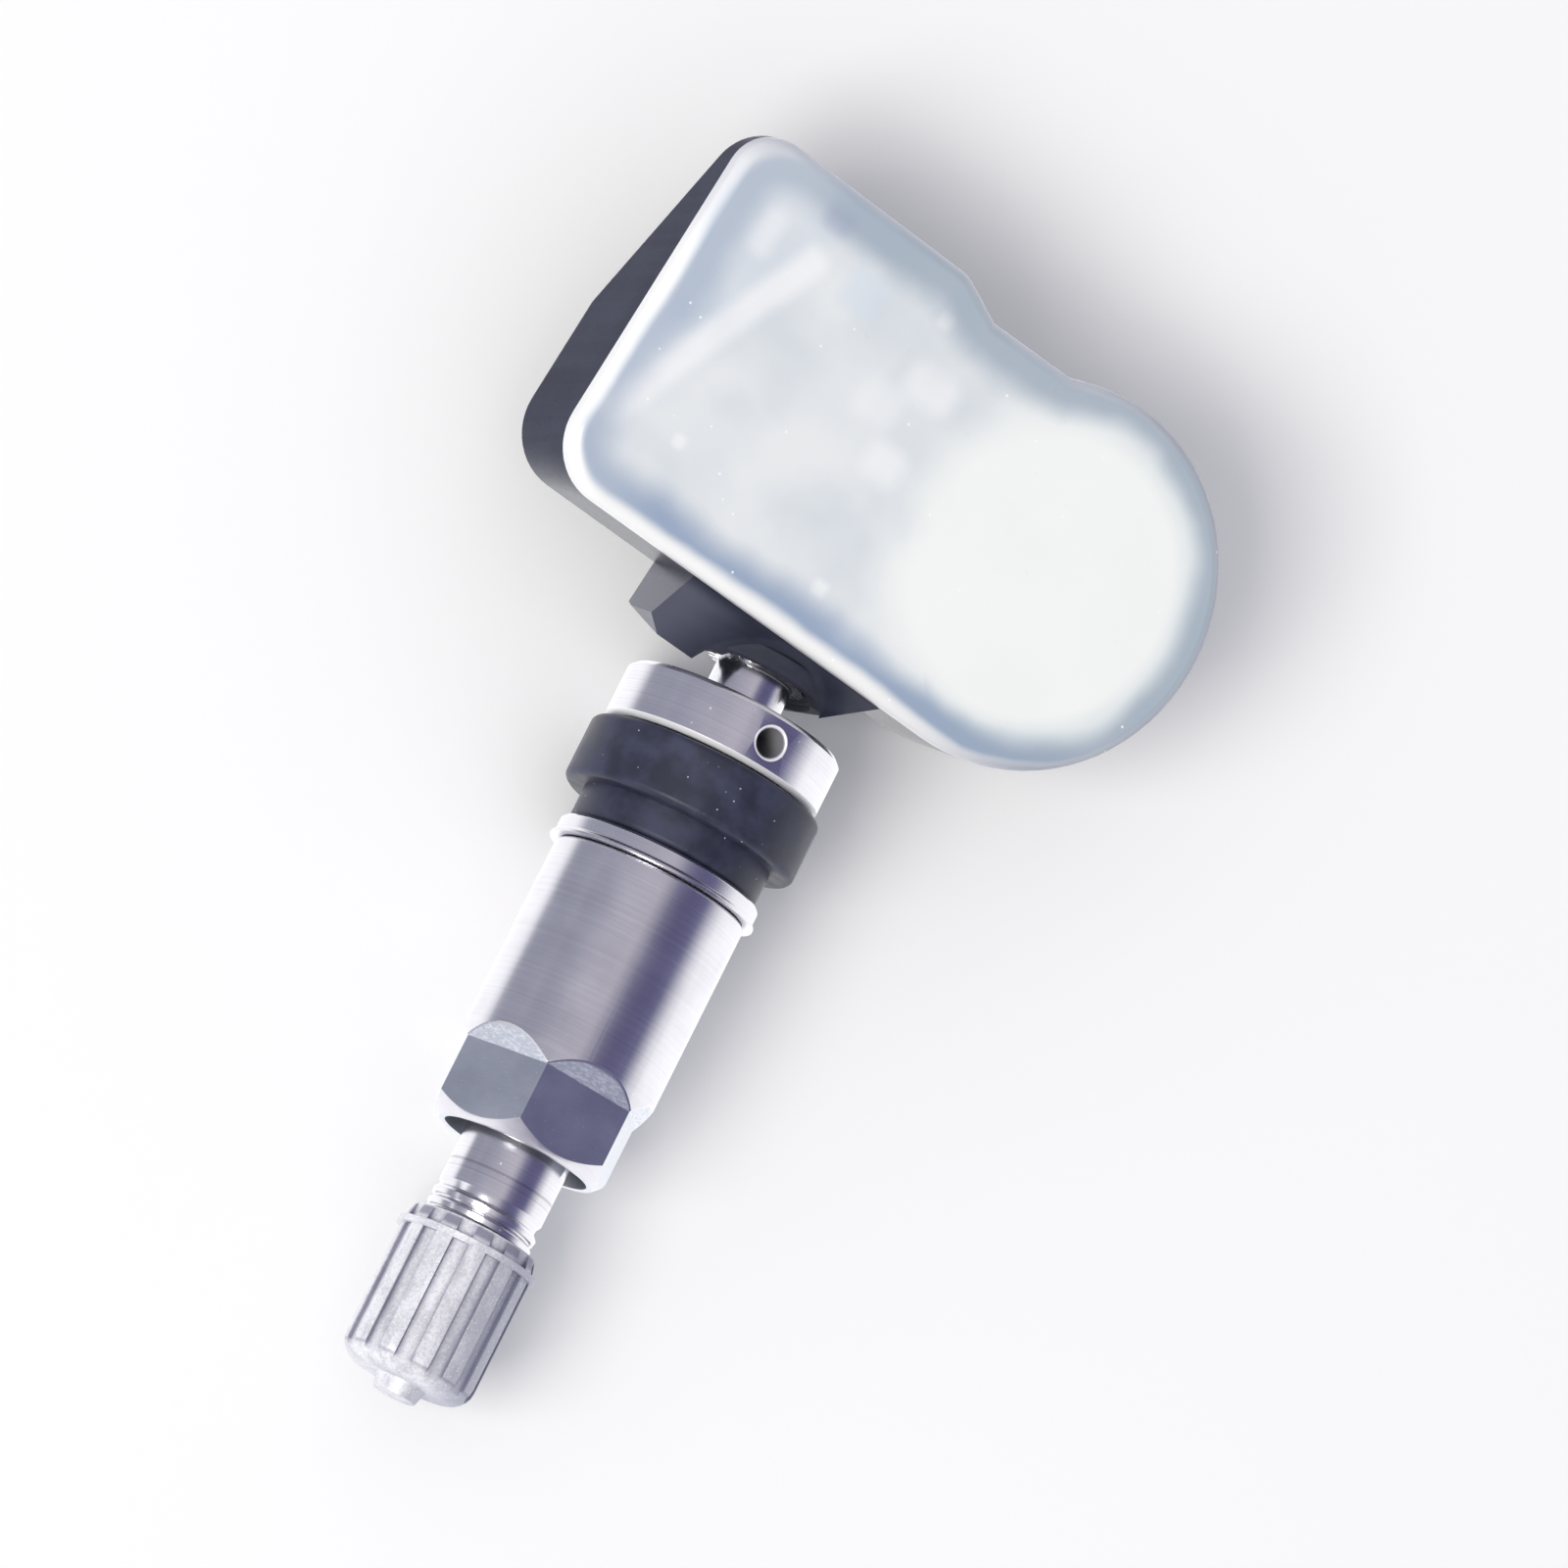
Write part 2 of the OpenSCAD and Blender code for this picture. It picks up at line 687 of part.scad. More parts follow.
module ball_cuts() {
    slot_l = back_ball_r + past;
    on_valve() {
        rod(dish_r + dish_step, -foot_drop + dish_step_t, past);
        rod(dish_r, -foot_drop, past);
        intersection() {
            at_ball() sphere(dish_ball_r, $fn = 96);
            rod(dish_r, foot_end - past, 0);
        }
        at_ball() rotate([90, 0, 90]) translate([0, 0, -seat_slot_r]) linear_extrude(2 * seat_slot_r)
            polygon([
                [-seat_slot_r, 0], [-seat_slot_r - slot_l * tan(tilt_free), -slot_l],
                [seat_slot_r + slot_l * tan(tilt_free), -slot_l], [seat_slot_r, 0]
            ]);
        rod(screw_head_r + screw_head_way, screw_start - driver_way, screw_start);
    }
}

module housing_tray() {
    color([0.15, 0.16, 0.2]) difference() {
        in_housing() difference() {
            union() {
                intersection() {
                    translate([0, 0, -housing_h]) linear_extrude(housing_h - cover_t) outline();
                    tray_space(0, 0);
                }
                bracket_solid();
            }
            difference() {
                tray_cavity();
                stake();
            }
        }
        difference() {
            screw_pocket();
            on_valve() at_ball() sphere(back_ball_r, $fn = 96);
        }
        ball_cuts();
    }
}

// Plate with the housing's outline and a rounded upper edge, skinned from ring to ring
module rounded_plate(bottom, top, edge_r) {
    steps = 5;
    rings = concat([[0, bottom]], [for (k = [0:steps]) let(a = 90 * k / steps)
        [edge_r * (1 - cos(a)), top - edge_r * (1 - sin(a))]]);
    count = len(outline_points(0));
    last = len(rings) - 1;
    points = [for (r = rings) for (p = outline_points(r[0])) [p.x, p.y, r[1]]];
    sides = [for (k = [0:last - 1], i = [0:count - 1]) let(j = (i + 1) % count)
        [k * count + i, (k + 1) * count + i, (k + 1) * count + j, k * count + j]];
    polyhedron(points, concat(sides,
        [[for (i = [0:count - 1]) i], [for (i = [0:count - 1]) last * count + count - 1 - i]]));
}

module cover() {
    lip_h = 0.9;
    lip_w = 1;
    color([0.93, 0.94, 0.96, 0.6]) in_housing() {
        rounded_plate(tray_top, 0, cover_round);
        intersection() {
            translate([0, 0, tray_top - lip_h]) linear_extrude(lip_h + eps) difference() {
                outline(wall + loose / 2);
                outline(wall + loose / 2 + lip_w);
            }
            tray_space(floor_t + loose, wall + loose);
        }
    }
}

// Electronics

module circuit_board() {
    gap = wall + loose;
    color([0.1, 0.35, 0.3]) in_housing() translate([0, 0, board_bottom]) linear_extrude(board_t)
        difference() {
            intersection() {
                outline(gap + board_side_gap);
                polygon([[board_slant[0], -end_r], [board_slant[1], board_far], [end_x, board_far], [end_x, -end_r]]);
            }
            translate([end_x, 0]) circle(cell_d / 2 + cell_room);
            translate(stake_at) circle(stake_r - stake_head + loose / 2);
        }
}

module coin_cell() {
    r = cell_d / 2;
    step = 0.8;
    color([0.82, 0.83, 0.84]) in_housing() translate([end_x, 0, 0]) turned([
        [0, cell_bottom], [r - 0.5, cell_bottom], [r, cell_bottom + 0.5], [r, cell_top - 0.3],
        [r - 0.3, cell_top], [r - step, cell_top], [r - step - 0.1, cell_top - 0.15],
        [r - step - 0.3, cell_top - 0.15], [r - step - 0.4, cell_top], [0, cell_top]
    ]);
}

// Strip in side view, swept across its width
module strip(points, at_y, width) {
    in_housing() translate([0, at_y + width / 2, 0]) rotate([90, 0, 0])
        linear_extrude(width) polygon(points);
}

module cell_tab_top() {
    bottom = board_top + part_gap;
    top = cell_top + part_gap;
    foot_end_x = cell_edge - tab_foot[0];
    knee_x = cell_edge - tab_foot[1];
    reach_x = cell_edge + tab_reach;
    color([0.78, 0.78, 0.72]) strip([
        [foot_end_x, bottom], [knee_x, bottom], [cell_edge + tab_t, top], [reach_x, top],
        [reach_x, top + tab_t], [cell_edge, top + tab_t], [knee_x - tab_t, bottom + tab_t],
        [foot_end_x, bottom + tab_t]
    ], tab_y, tab_w);
}

module cell_tab_bottom() {
    color([0.78, 0.78, 0.72]) in_housing()
        translate([cell_edge - lower_tab_at.x, lower_tab_at.y, board_top + part_gap])
            cube([lower_tab_size.x, lower_tab_size.y, tab_t]);
}

module chip(at, size, z) {
    in_housing() translate([at.x - size.x / 2, at.y - size.y / 2, z]) cube(size);
}

module at_port(z) {
    in_housing() translate([pressure_at.x, pressure_at.y, z]) children();
}

module pressure_chip() {
    bottom = board_bottom - part_gap - chip_size.z;
    color([0.2, 0.2, 0.22]) at_port(bottom) difference() {
        translate([-chip_size.x / 2, -chip_size.y / 2, 0]) cube(chip_size);
        translate([0, 0, -past]) cylinder(r = port_r, h = past + 0.5);
    }
}

module port_seal() {
    color([0.2, 0.2, 0.2]) at_port(well_bottom + part_gap / 2) difference() {
        cylinder(r = filter_r, h = seal_ring_t);
        translate([0, 0, -past]) cylinder(r = port_r, h = seal_ring_t + 2 * past);
    }
}

module port_filter() {
    color([0.95, 0.95, 0.95]) at_port(filter_sunk - housing_h - part_gap) cylinder(r = filter_r - part_gap, h = filter_t);
}

module controller_chip() {
    color([0.85, 0.85, 0.86]) chip(chip_at, controller_size, board_top + part_gap);
}

module wake_coil() {
    color([0.9, 0.9, 0.9]) chip(coil_at, coil_size, board_top + part_gap);
}

module crystal() {
    color([0.85, 0.85, 0.86]) in_housing() translate([crystal_at.x, crystal_at.y, board_top + part_gap])
        cylinder(r = crystal_r, h = crystal_h);
}

module capacitors() {
    color([0.7, 0.62, 0.5]) for (at = capacitors_at)
        chip([cell_edge + at.x, at.y], capacitor_size, board_top + part_gap);
}

valve_stem();
grommet();
nut_washer();
hex_nut();
valve_cap();
cap_seal();
core_body();
core_seal();
core_pin();
core_spring();
fixing_screw();
seat_washer();
housing_tray();
cover();
circuit_board();
coin_cell();
cell_tab_top();
cell_tab_bottom();
pressure_chip();
port_seal();
port_filter();
controller_chip();
wake_coil();
crystal();
capacitors();
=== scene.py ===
"""Tyre pressure sensor with a clamp-in valve: finer shapes, finishes, floor, lamps and camera."""
import json
import math
import bpy
from mathutils import Matrix, Vector

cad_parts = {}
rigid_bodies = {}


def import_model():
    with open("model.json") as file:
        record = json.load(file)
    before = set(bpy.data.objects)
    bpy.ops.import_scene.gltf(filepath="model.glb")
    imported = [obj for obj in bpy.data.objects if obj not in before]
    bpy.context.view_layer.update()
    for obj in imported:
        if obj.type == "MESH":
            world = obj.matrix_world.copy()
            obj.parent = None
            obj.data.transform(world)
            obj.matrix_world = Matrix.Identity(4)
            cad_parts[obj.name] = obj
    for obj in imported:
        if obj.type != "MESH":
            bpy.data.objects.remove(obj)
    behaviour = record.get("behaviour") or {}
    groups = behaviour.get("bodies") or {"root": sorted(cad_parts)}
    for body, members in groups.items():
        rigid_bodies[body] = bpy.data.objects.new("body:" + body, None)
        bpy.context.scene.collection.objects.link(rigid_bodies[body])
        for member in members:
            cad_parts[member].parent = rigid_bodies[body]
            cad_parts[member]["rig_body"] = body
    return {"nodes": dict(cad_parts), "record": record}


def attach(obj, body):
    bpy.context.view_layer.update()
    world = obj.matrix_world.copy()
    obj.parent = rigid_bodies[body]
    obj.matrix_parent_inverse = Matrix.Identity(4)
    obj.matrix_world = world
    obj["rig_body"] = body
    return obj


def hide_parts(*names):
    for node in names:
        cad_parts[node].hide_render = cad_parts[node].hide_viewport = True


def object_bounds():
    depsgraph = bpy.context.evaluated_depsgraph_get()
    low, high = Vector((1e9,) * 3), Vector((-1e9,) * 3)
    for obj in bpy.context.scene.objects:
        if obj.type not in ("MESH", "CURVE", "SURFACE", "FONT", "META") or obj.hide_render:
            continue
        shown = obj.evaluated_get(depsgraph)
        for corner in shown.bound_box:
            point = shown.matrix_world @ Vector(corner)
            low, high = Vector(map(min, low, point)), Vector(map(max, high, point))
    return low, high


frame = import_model()
cad_box = [list(corner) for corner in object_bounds()]
MM = 0.001

# Points nearer to each other than this are one, and faces that turn by less than this many
# degrees are flat
MERGE = 0.002 * MM
FLAT = 0.3

# Edges at which faces turn by more degrees than this are rounded
SHARP = 35

# Sizes are in millimetres, as the solids have them. A station runs from the collar's face towards the cap.
RIM_SEAT = 8.9
COLLAR_T = 4.1
PIN_HOLE_Y = RIM_SEAT - COLLAR_T / 2
PIN_HOLE_R = 1.0
NECK_R = 2.7
FOOT_DROP = 3.0

# The stem's body under the nut, and the thread it carries
BODY_R = 4.9
BODY_END = 25.55
BODY_THREAD_DEPTH = 0.45
NUT_THREAD_START = 8.6
NUT_PITCH = 1.0

# The sleeve, the stations where its hexagon's run-outs and flats start, and what radius plus
# station comes to on the end chamfer
SLEEVE_R = 6.95
HEX_START = 26.35
HEX_FLATS = 27.85
HEX_CHAMFER = 38.75

# The shank and the thread at the tip
SCRIBED_LINE = 35.3
THREAD_START = 36.8
TIP = 48.0
THREAD_R = 3.875
THREAD_DEPTH = 0.34
THREAD_PITCH = 0.794

# Points further out than these lie on the outside of the collar and of the tip; points this
# near to the body's radius lie on its side
COLLAR_OUTSIDE_R = 7.3
TIP_OUTSIDE_R = 3.4
ON_SIDE = 0.12

# A thread's ridge, for the tip's pitch: its height, its half width and the share of that kept,
# how far its crest stays in and how far on its first turn starts; then the stretch left plain
# at a thread's end, in any pitch
RIDGE_H = 0.38
RIDGE_W = 0.4
RIDGE_SHARE = 0.82
CREST_IN = 0.02
FIRST_TURN_IN = 0.45
PLAIN_END = 0.9

# The two lips round the ball seat, as radius and station, and the arc they run through, in degrees from +X
LIPS_PROFILE = [(4.03, -3.2), (4.05, -3.0), (4.17, -2.88), (4.3, -3.02), (4.5, -3.05), (4.63, -2.92),
                (4.76, -3.05), (4.78, -4.1), (4.5, -4.1), (4.3, -3.6)]
LIPS_FROM = 25
LIPS_TURN = -200

# The cap: the radius of the grooves' floors and of the ribs, and where the lines of painted shade at the
# ribs' sides start and end in Y
CAP_FLOOR_R = 4.35
CAP_RIB_R = 4.7
CAP_LINES_Y = (-30.3, -40.4)

# The housing's own frame: its zero is the cover's face at the square end
HOUSING_TURN = (math.radians(7.9), 0, math.radians(-3.7))
HOUSING_CORNER = Vector((-23.4, 18.6, 6.8))
HOUSING_END_X = 33.55
HOUSING_END_R = 13.25
NEAR_EDGE = 13.1
FAR_EDGE = 13.85
WAIST_EDGE = 12.1
CORNER_R = 4.3
CELL_R = 10
BRACKET_ROOT_Y = -13.0
DISH_R = 5.1

# The slope between the far edge and the waist: where the waist starts, and how far the slope's
# outward normal is turned from +X
WAIST_START = 21.3
SLOPE_NORMAL = math.radians(65)

# The bracket's side with a painted sheen: where the sheen starts, towards the square end, and how far on it
# is full
BRACKET_SHEEN_X = 20.5
BRACKET_SHEEN_L = 6

# How far the floor lies under the lowest point of the solids
FLOOR_GAP = 0.05

# What shows softly through the cover: x, y, half width, half height, softness, share, colour
PALE_SHAPES = (
    (4.0, 8.1, 0.3, 1.0, 1.3, 0.5, (0.86, 0.87, 0.90)),
    (19.9, 5.9, 0.9, 0.3, 2.0, 0.65, (0.90, 0.90, 0.91)),
    (19.9, 0.0, 0.5, 0.4, 1.8, 0.6, (0.89, 0.89, 0.90)),
    (17.2, 3.2, 0.9, 0.6, 1.5, 0.35, (0.87, 0.88, 0.90)),
    (20.9, -9.2, 0.25, 0.25, 0.6, 0.6, (0.88, 0.89, 0.90)),
    (18.1, 10.2, 0.2, 0.2, 0.7, 0.65, (0.90, 0.91, 0.92)),
    (6.9, -6.6, 0.15, 0.15, 0.6, 0.6, (0.88, 0.89, 0.91)),
    (12.1, 8.5, 0.9, 0.9, 1.3, 0.45, (0.62, 0.69, 0.79)),
    (7.9, 11.5, 0.5, 0.2, 1.2, 0.55, (0.42, 0.44, 0.58)),
    (25.3, -11.0, 2.0, 0.5, 1.4, 0.25, (0.60, 0.67, 0.80)),
)


def station(s):
    """The place on the Y axis of a station along the valve."""
    return (RIM_SEAT - s) * MM


def turn_housing(vector):
    """Turns a direction of the housing's own frame into the part's."""
    turn = Matrix.Rotation(HOUSING_TURN[2], 3, "Z") @ Matrix.Rotation(HOUSING_TURN[0], 3, "X")
    return turn @ vector


def make_camera():
    """Looks down on the sensor as the photograph does, the valve running to the lower left."""
    right = Vector((0.793, 0.440, 0.423))
    up = Vector((-0.476, 0.878, -0.020))
    back = Vector((-0.380, -0.186, 0.906))
    target = Vector((4.71, 6.44, 1.47)) * MM
    distance = 0.9
    camera = bpy.data.objects.new("camera", bpy.data.cameras.new("camera"))
    bpy.context.scene.collection.objects.link(camera)
    turn = Matrix((right, up, back)).transposed()
    camera.matrix_world = Matrix.Translation(target + back * distance) @ turn.to_4x4()
    camera.data.sensor_width = 36
    camera.data.lens = 310
    bpy.context.scene.camera = camera


class Value:
    """A number, colour or vector running through a finish; sums on it add the nodes that work them out."""

    def __init__(self, finish, socket):
        self.finish = finish
        self.socket = socket

    def _math(self, operation, first, second=None):
        inputs = {0: first} if second is None else {0: first, 1: second}
        return self.finish.node("ShaderNodeMath", {"operation": operation}, inputs)

    def __add__(self, other):
        return self._math("ADD", self, other)

    def __radd__(self, other):
        return self._math("ADD", other, self)

    def __sub__(self, other):
        return self._math("SUBTRACT", self, other)

    def __rsub__(self, other):
        return self._math("SUBTRACT", other, self)

    def __mul__(self, other):
        return self._math("MULTIPLY", self, other)

    def __rmul__(self, other):
        return self._math("MULTIPLY", other, self)

    def __truediv__(self, other):
        return self._math("DIVIDE", self, other)

    def __abs__(self):
        return self._math("ABSOLUTE", self)

    def root(self):
        return self._math("SQRT", self)

    def least(self, other):
        return self._math("MINIMUM", self, other)

    def most(self, other):
        return self._math("MAXIMUM", self, other)

    def fade(self, low, high):
        """0 on low's side, 1 on high's side, smooth between them; low may be the greater."""
        return self.finish.node("ShaderNodeMapRange", {"interpolation_type": "SMOOTHSTEP"},
                                {"Value": self, "From Min": low, "From Max": high})

    def blend(self, first, second):
        """The first colour where this is 0, the second where it is 1."""
        # A Mix node's colours are its inputs 6 and 7 and its output 2
        return self.finish.node("ShaderNodeMix", {"data_type": "RGBA"}, {0: self, 6: first, 7: second}, 2)


class Finish:
    """A material's or the world's nodes, each added by one method."""

    def __init__(self, owner):
        self.owner = owner
        owner.use_nodes = True
        self.nodes = owner.node_tree.nodes
        self.links = owner.node_tree.links
        self.nodes.clear()

    def node(self, kind, settings=None, inputs=None, output=0):
        """Adds a node with its settings, then its sockets' values or links; returns one output."""
        made = self.nodes.new(kind)
        for key, value in (settings or {}).items():
            if key == "stops":
                ramp = made.color_ramp.elements
                while len(ramp) < len(value):
                    ramp.new(0.5)
                for stop, (place, colour) in zip(ramp, value):
                    stop.position = place
                    stop.color = (*colour, 1)
            else:
                setattr(made, key, value)
        for key, value in (inputs or {}).items():
            if isinstance(value, Value):
                self.links.new(value.socket, made.inputs[key])
            elif isinstance(value, tuple) and made.inputs[key].type == "RGBA":
                made.inputs[key].default_value = (*value, 1)
            else:
                made.inputs[key].default_value = value
        return Value(self, made.outputs[output]) if len(made.outputs) else None

    def place(self):
        """The point on the piece, in millimetres."""
        point = self.node("ShaderNodeTexCoord", output="Object")
        return self.node("ShaderNodeVectorMath", {"operation": "SCALE"}, {0: point, "Scale": 1 / MM})

    def parts(self, point):
        """The x, y and z of a point."""
        x = self.node("ShaderNodeSeparateXYZ", inputs={0: point})
        outputs = x.socket.node.outputs
        return x, Value(self, outputs[1]), Value(self, outputs[2])

    def point(self, x, y, z):
        return self.node("ShaderNodeCombineXYZ", inputs={0: x, 1: y, 2: z})

    def housing_place(self):
        """The point in the housing's own frame, in millimetres."""
        corner = Vector((0, RIM_SEAT, 0)) + turn_housing(HOUSING_CORNER)
        return self.node("ShaderNodeMapping", {"vector_type": "TEXTURE"},
                         {"Vector": self.place(), "Location": corner, "Rotation": HOUSING_TURN})

    def around_axis(self):
        """The point, its x, y and z, its distance from the valve's axis, and the fine rings of a lathe."""
        place = self.place()
        x, y, z = self.parts(place)
        from_axis = (x * x + z * z).root()
        lathe = self.noise(self.point(from_axis * 9, y * 9, 0), 1.0, 4.0, 0.65)
        return place, x, y, z, from_axis, lathe

    def noise(self, point, scale, detail=3.0, roughness=0.5):
        return self.node("ShaderNodeTexNoise", {}, {"Vector": point, "Scale": scale, "Detail": detail,
                                                    "Roughness": roughness})

    def specks(self, point, scale, size, share):
        """1 in small scattered spots: size is a spot's share of its cell, share how many cells have one."""
        cell = self.node("ShaderNodeTexVoronoi", {}, {"Vector": point, "Scale": scale})
        chance = self.node("ShaderNodeSeparateColor", inputs={0: Value(self, cell.socket.node.outputs[1])})
        return (1 - cell.fade(size * 0.6, size)) * chance.fade(1 - share, 1.001 - share)

    def bump(self, height, strength, depth):
        inputs = {"Height": height, "Strength": strength, "Distance": depth * MM}
        return self.node("ShaderNodeBump", {}, inputs)

    def surface(self, inputs):
        """Ends the finish with one shader and returns its material."""
        shader = self.node("ShaderNodeBsdfPrincipled", {}, inputs)
        self.node("ShaderNodeOutputMaterial", {}, {0: shader})
        return self.owner


def new_finish(name):
    return Finish(bpy.data.materials.new(name))


def turned_metal(name, colour, dull, rings=1.0):
    """Lathe-turned metal: fine rings round the valve's axis, faint scratches and a grain in the shine."""
    f = new_finish(name)
    place, x, y, z, from_axis, lathe = f.around_axis()
    broad = f.noise(f.point(from_axis * 0.9, y * 0.9, 0), 1.0, 2.0)
    cloudy = f.noise(place, 0.35, 3.0)
    scratch = f.noise(f.point(x * 14, y * 1.2, z * 14), 1.0, 2.0).fade(0.66, 0.7)
    deep = tuple(0.9 * c for c in colour)
    tone = (lathe * 0.45 + broad * 0.3 + cloudy * 0.25).fade(0.3, 0.7)
    return f.surface({
        "Base Color": tone.blend(deep, colour), "Metallic": 1.0,
        "Roughness": dull + (lathe - 0.5) * 0.10 + (cloudy - 0.5) * 0.1 + scratch * 0.1,
        "Normal": f.bump(lathe * rings - scratch * 0.5, 0.12, 0.01)
    })


def nut_metal():
    """Turned metal with finely milled flats and bright chatter marks where the cutter ran out."""
    f = new_finish("nut_metal")
    place, x, y, z, from_axis, lathe = f.around_axis()
    s = RIM_SEAT - y
    milled = f.noise(f.point(x * 1.5, y * 26, z * 1.5), 1.0, 3.0, 0.7)
    on_hex = s.fade(HEX_START + 0.1, HEX_START + 0.4)
    on_flats = s.fade(HEX_FLATS - 0.1, HEX_FLATS + 0.1)
    chamfer = (from_axis + s).fade(HEX_CHAMFER - 0.08, HEX_CHAMFER)
    on_faces = on_hex * (1 - chamfer)
    run_out = on_hex * (1 - on_flats) * (1 - from_axis.fade(SLEEVE_R - 0.13, SLEEVE_R - 0.05))
    chatter = f.noise(f.point(x * 2.4, y * 7.0, z * 2.4), 1.0, 4.0, 0.75).fade(0.46, 0.60) * run_out
    fleck = f.specks(place, 2.6, 0.16, 0.35) * on_faces
    cloudy = f.noise(place, 0.35, 3.0)
    grain = lathe + (milled - lathe) * on_flats
    tone = (grain * 0.5 + cloudy * 0.5).fade(0.3, 0.7)
    plain = tone.blend((0.66, 0.65, 0.69), (0.76, 0.75, 0.79))
    flats = tone.blend((0.54, 0.57, 0.63), (0.68, 0.71, 0.76))
    body = (on_flats * on_faces).blend(plain, flats)
    body = (run_out * 0.8).blend(body, (0.60, 0.64, 0.72))
    return f.surface({
        "Base Color": (chatter * 0.8).most(fleck * 0.8).blend(body, (0.90, 0.92, 0.97)), "Metallic": 1.0,
        "Roughness": 0.22 + (lathe - 0.5) * 0.10 + on_flats * 0.10 + run_out * 0.2 + (cloudy - 0.5) * 0.1,
        "Normal": f.bump(grain * (0.6 + on_flats * 1.2) + chatter * 1.8, 0.2, 0.014)
    })


def stem_metal():
    """Turned metal: scribed lines on the shank, a painted highlight on the collar's edge and the hole's
    lip, a painted pale grey inside the hole, and painted shade on the right of the foot.
    """
    f = new_finish("stem_metal")
    place, x, y, z, from_axis, lathe = f.around_axis()
    s = RIM_SEAT - y
    cloudy = f.noise(place, 0.4, 3.0)
    line = 1 - abs(s - SCRIBED_LINE).fade(0.05, 0.14)
    second = 1 - abs(s - SCRIBED_LINE - 0.5).fade(0.03, 0.09)
    scribed = line.most(second * 0.5)
    spots = f.specks(place, 1.6, 0.16, 0.25)
    off = y - PIN_HOLE_Y
    from_hole = (x * x + off * off).root()
    # Painted highlights: near-white rings on the hole's lip and on the collar's edge, standing for glints
    lip_ring = 1 - abs(from_hole - PIN_HOLE_R - 0.14).fade(0.06, 0.10)
    hole_lip = lip_ring * z.fade(COLLAR_OUTSIDE_R - 0.1, COLLAR_OUTSIDE_R + 0.1)
    # Painted light: the hole's wall a dull mid grey, standing for the light it reflects inside
    hole_wall = (1 - (from_hole - PIN_HOLE_R).fade(0.02, 0.08)) * z.fade(0.5, 1.5)
    edge_ring = 1 - abs(s - COLLAR_T + 0.2).fade(0.16, 0.22)
    collar_edge = edge_ring * from_axis.fade(COLLAR_OUTSIDE_R - 0.1, COLLAR_OUTSIDE_R + 0.1)
    bright = hole_lip.most(collar_edge)
    tone = (lathe * 0.6 + cloudy * 0.4).fade(0.3, 0.7)
    body = tone.blend((0.68, 0.67, 0.71), (0.78, 0.77, 0.81))
    # Painted shade: the foot, and the underside round the neck, dark on the right side and dull there
    under_neck = from_axis.fade(NECK_R + 0.08, NECK_R + 0.2) * s.fade(-1.0, -1.5)
    foot = s.fade(0.2 - FOOT_DROP, 0.05 - FOOT_DROP).most(under_neck) * x.fade(-2.2, -1.0)
    body = (scribed * 0.35).blend(body, (0.10, 0.10, 0.14))
    body = (spots * 0.6).blend(body, (0.93, 0.93, 0.97))
    body = (hole_wall * 0.7).blend(body, (0.36, 0.36, 0.40))
    body = (foot * 0.95).blend(body, (0.02, 0.022, 0.04))
    grain = (lathe - 0.5) * 0.08 + (cloudy - 0.5) * 0.1
    return f.surface({
        "Base Color": bright.blend(body, (0.97, 0.97, 1.0)),
        "Metallic": 1 - bright * 0.6 - hole_wall * 0.6 - foot * 0.8,
        "Roughness": 0.2 + grain + spots * 0.2 + bright * 0.3 + foot * 0.5,
        "Normal": f.bump(lathe * 0.6 - scribed * 1.5, 0.05, 0.01)
    })


def cast_cap():
    """Silvered moulded cap: grainy, with bright specks painted as glints, painted shade on its right side,
    and lines of painted shade at the ribs' sides.
    """
    f = new_finish("cast_cap")
    place = f.place()
    x, y, z = f.parts(place)
    from_axis = (x * x + z * z).root()
    grain = f.noise(place, 4.5, 4.0, 0.7)
    cloudy = f.noise(f.point(x * 1.2, y * 0.5, z * 1.2), 1.0, 3.0)
    groove = 1 - from_axis.fade(CAP_FLOOR_R + 0.03, CAP_RIB_R - 0.08)
    start, end = CAP_LINES_Y
    along_ribs = (1 - y.fade(start - 0.1, start + 0.1)) * y.fade(end - 0.2, end + 0.2)
    above_floor = from_axis.fade(CAP_FLOOR_R - 0.01, CAP_FLOOR_R + 0.05)
    # Painted shade: dark lines along the ribs' sides, where the grooves' walls fall in shade
    side = above_floor * (1 - from_axis.fade(CAP_RIB_R - 0.14, CAP_RIB_R - 0.04))
    sparkle = f.specks(place, 4.0, 0.26, 0.5)
    tone = (grain * 0.55 + cloudy * 0.45).fade(0.36, 0.64)
    body = tone.blend((0.56, 0.56, 0.62), (0.80, 0.80, 0.85))
    # Painted shade: the cap darker towards its right side, away from the lamp
    body = (x.fade(-0.5, 3.0) * 0.75).blend(body, (0.36, 0.37, 0.47))
    # Painted glints: bright specks on the silvering
    sparkled = (sparkle * 0.7).blend(body, (0.92, 0.93, 0.97))
    return f.surface({
        "Base Color": (side * along_ribs * 0.75).blend(sparkled, (0.16, 0.16, 0.25)), "Metallic": 0.3,
        "Roughness": 0.44 + (grain - 0.5) * 0.2 + groove * 0.08,
        "Normal": f.bump(grain, 0.6, 0.05)
    })


def black_rubber(name, colour=(0.021, 0.024, 0.045)):
    """Moulded rubber: nearly black, blooming paler in patches, with specks of dust."""
    f = new_finish(name)
    place = f.place()
    bloom = f.noise(place, 0.45, 4.0).fade(0.35, 0.7)
    pores = f.noise(place, 7.0, 3.0)
    dust = f.specks(place, 1.5, 0.10, 0.30)
    body = bloom.blend(colour, tuple(1.9 * c for c in colour))
    return f.surface({
        "Base Color": (dust * 0.8).blend(body, (0.55, 0.56, 0.62)), "Metallic": 0.0,
        "Roughness": 0.48 + (bloom - 0.5) * 0.12 + (pores - 0.5) * 0.12, "Specular IOR Level": 0.36,
        "Normal": f.bump(pores, 0.18, 0.03)
    })


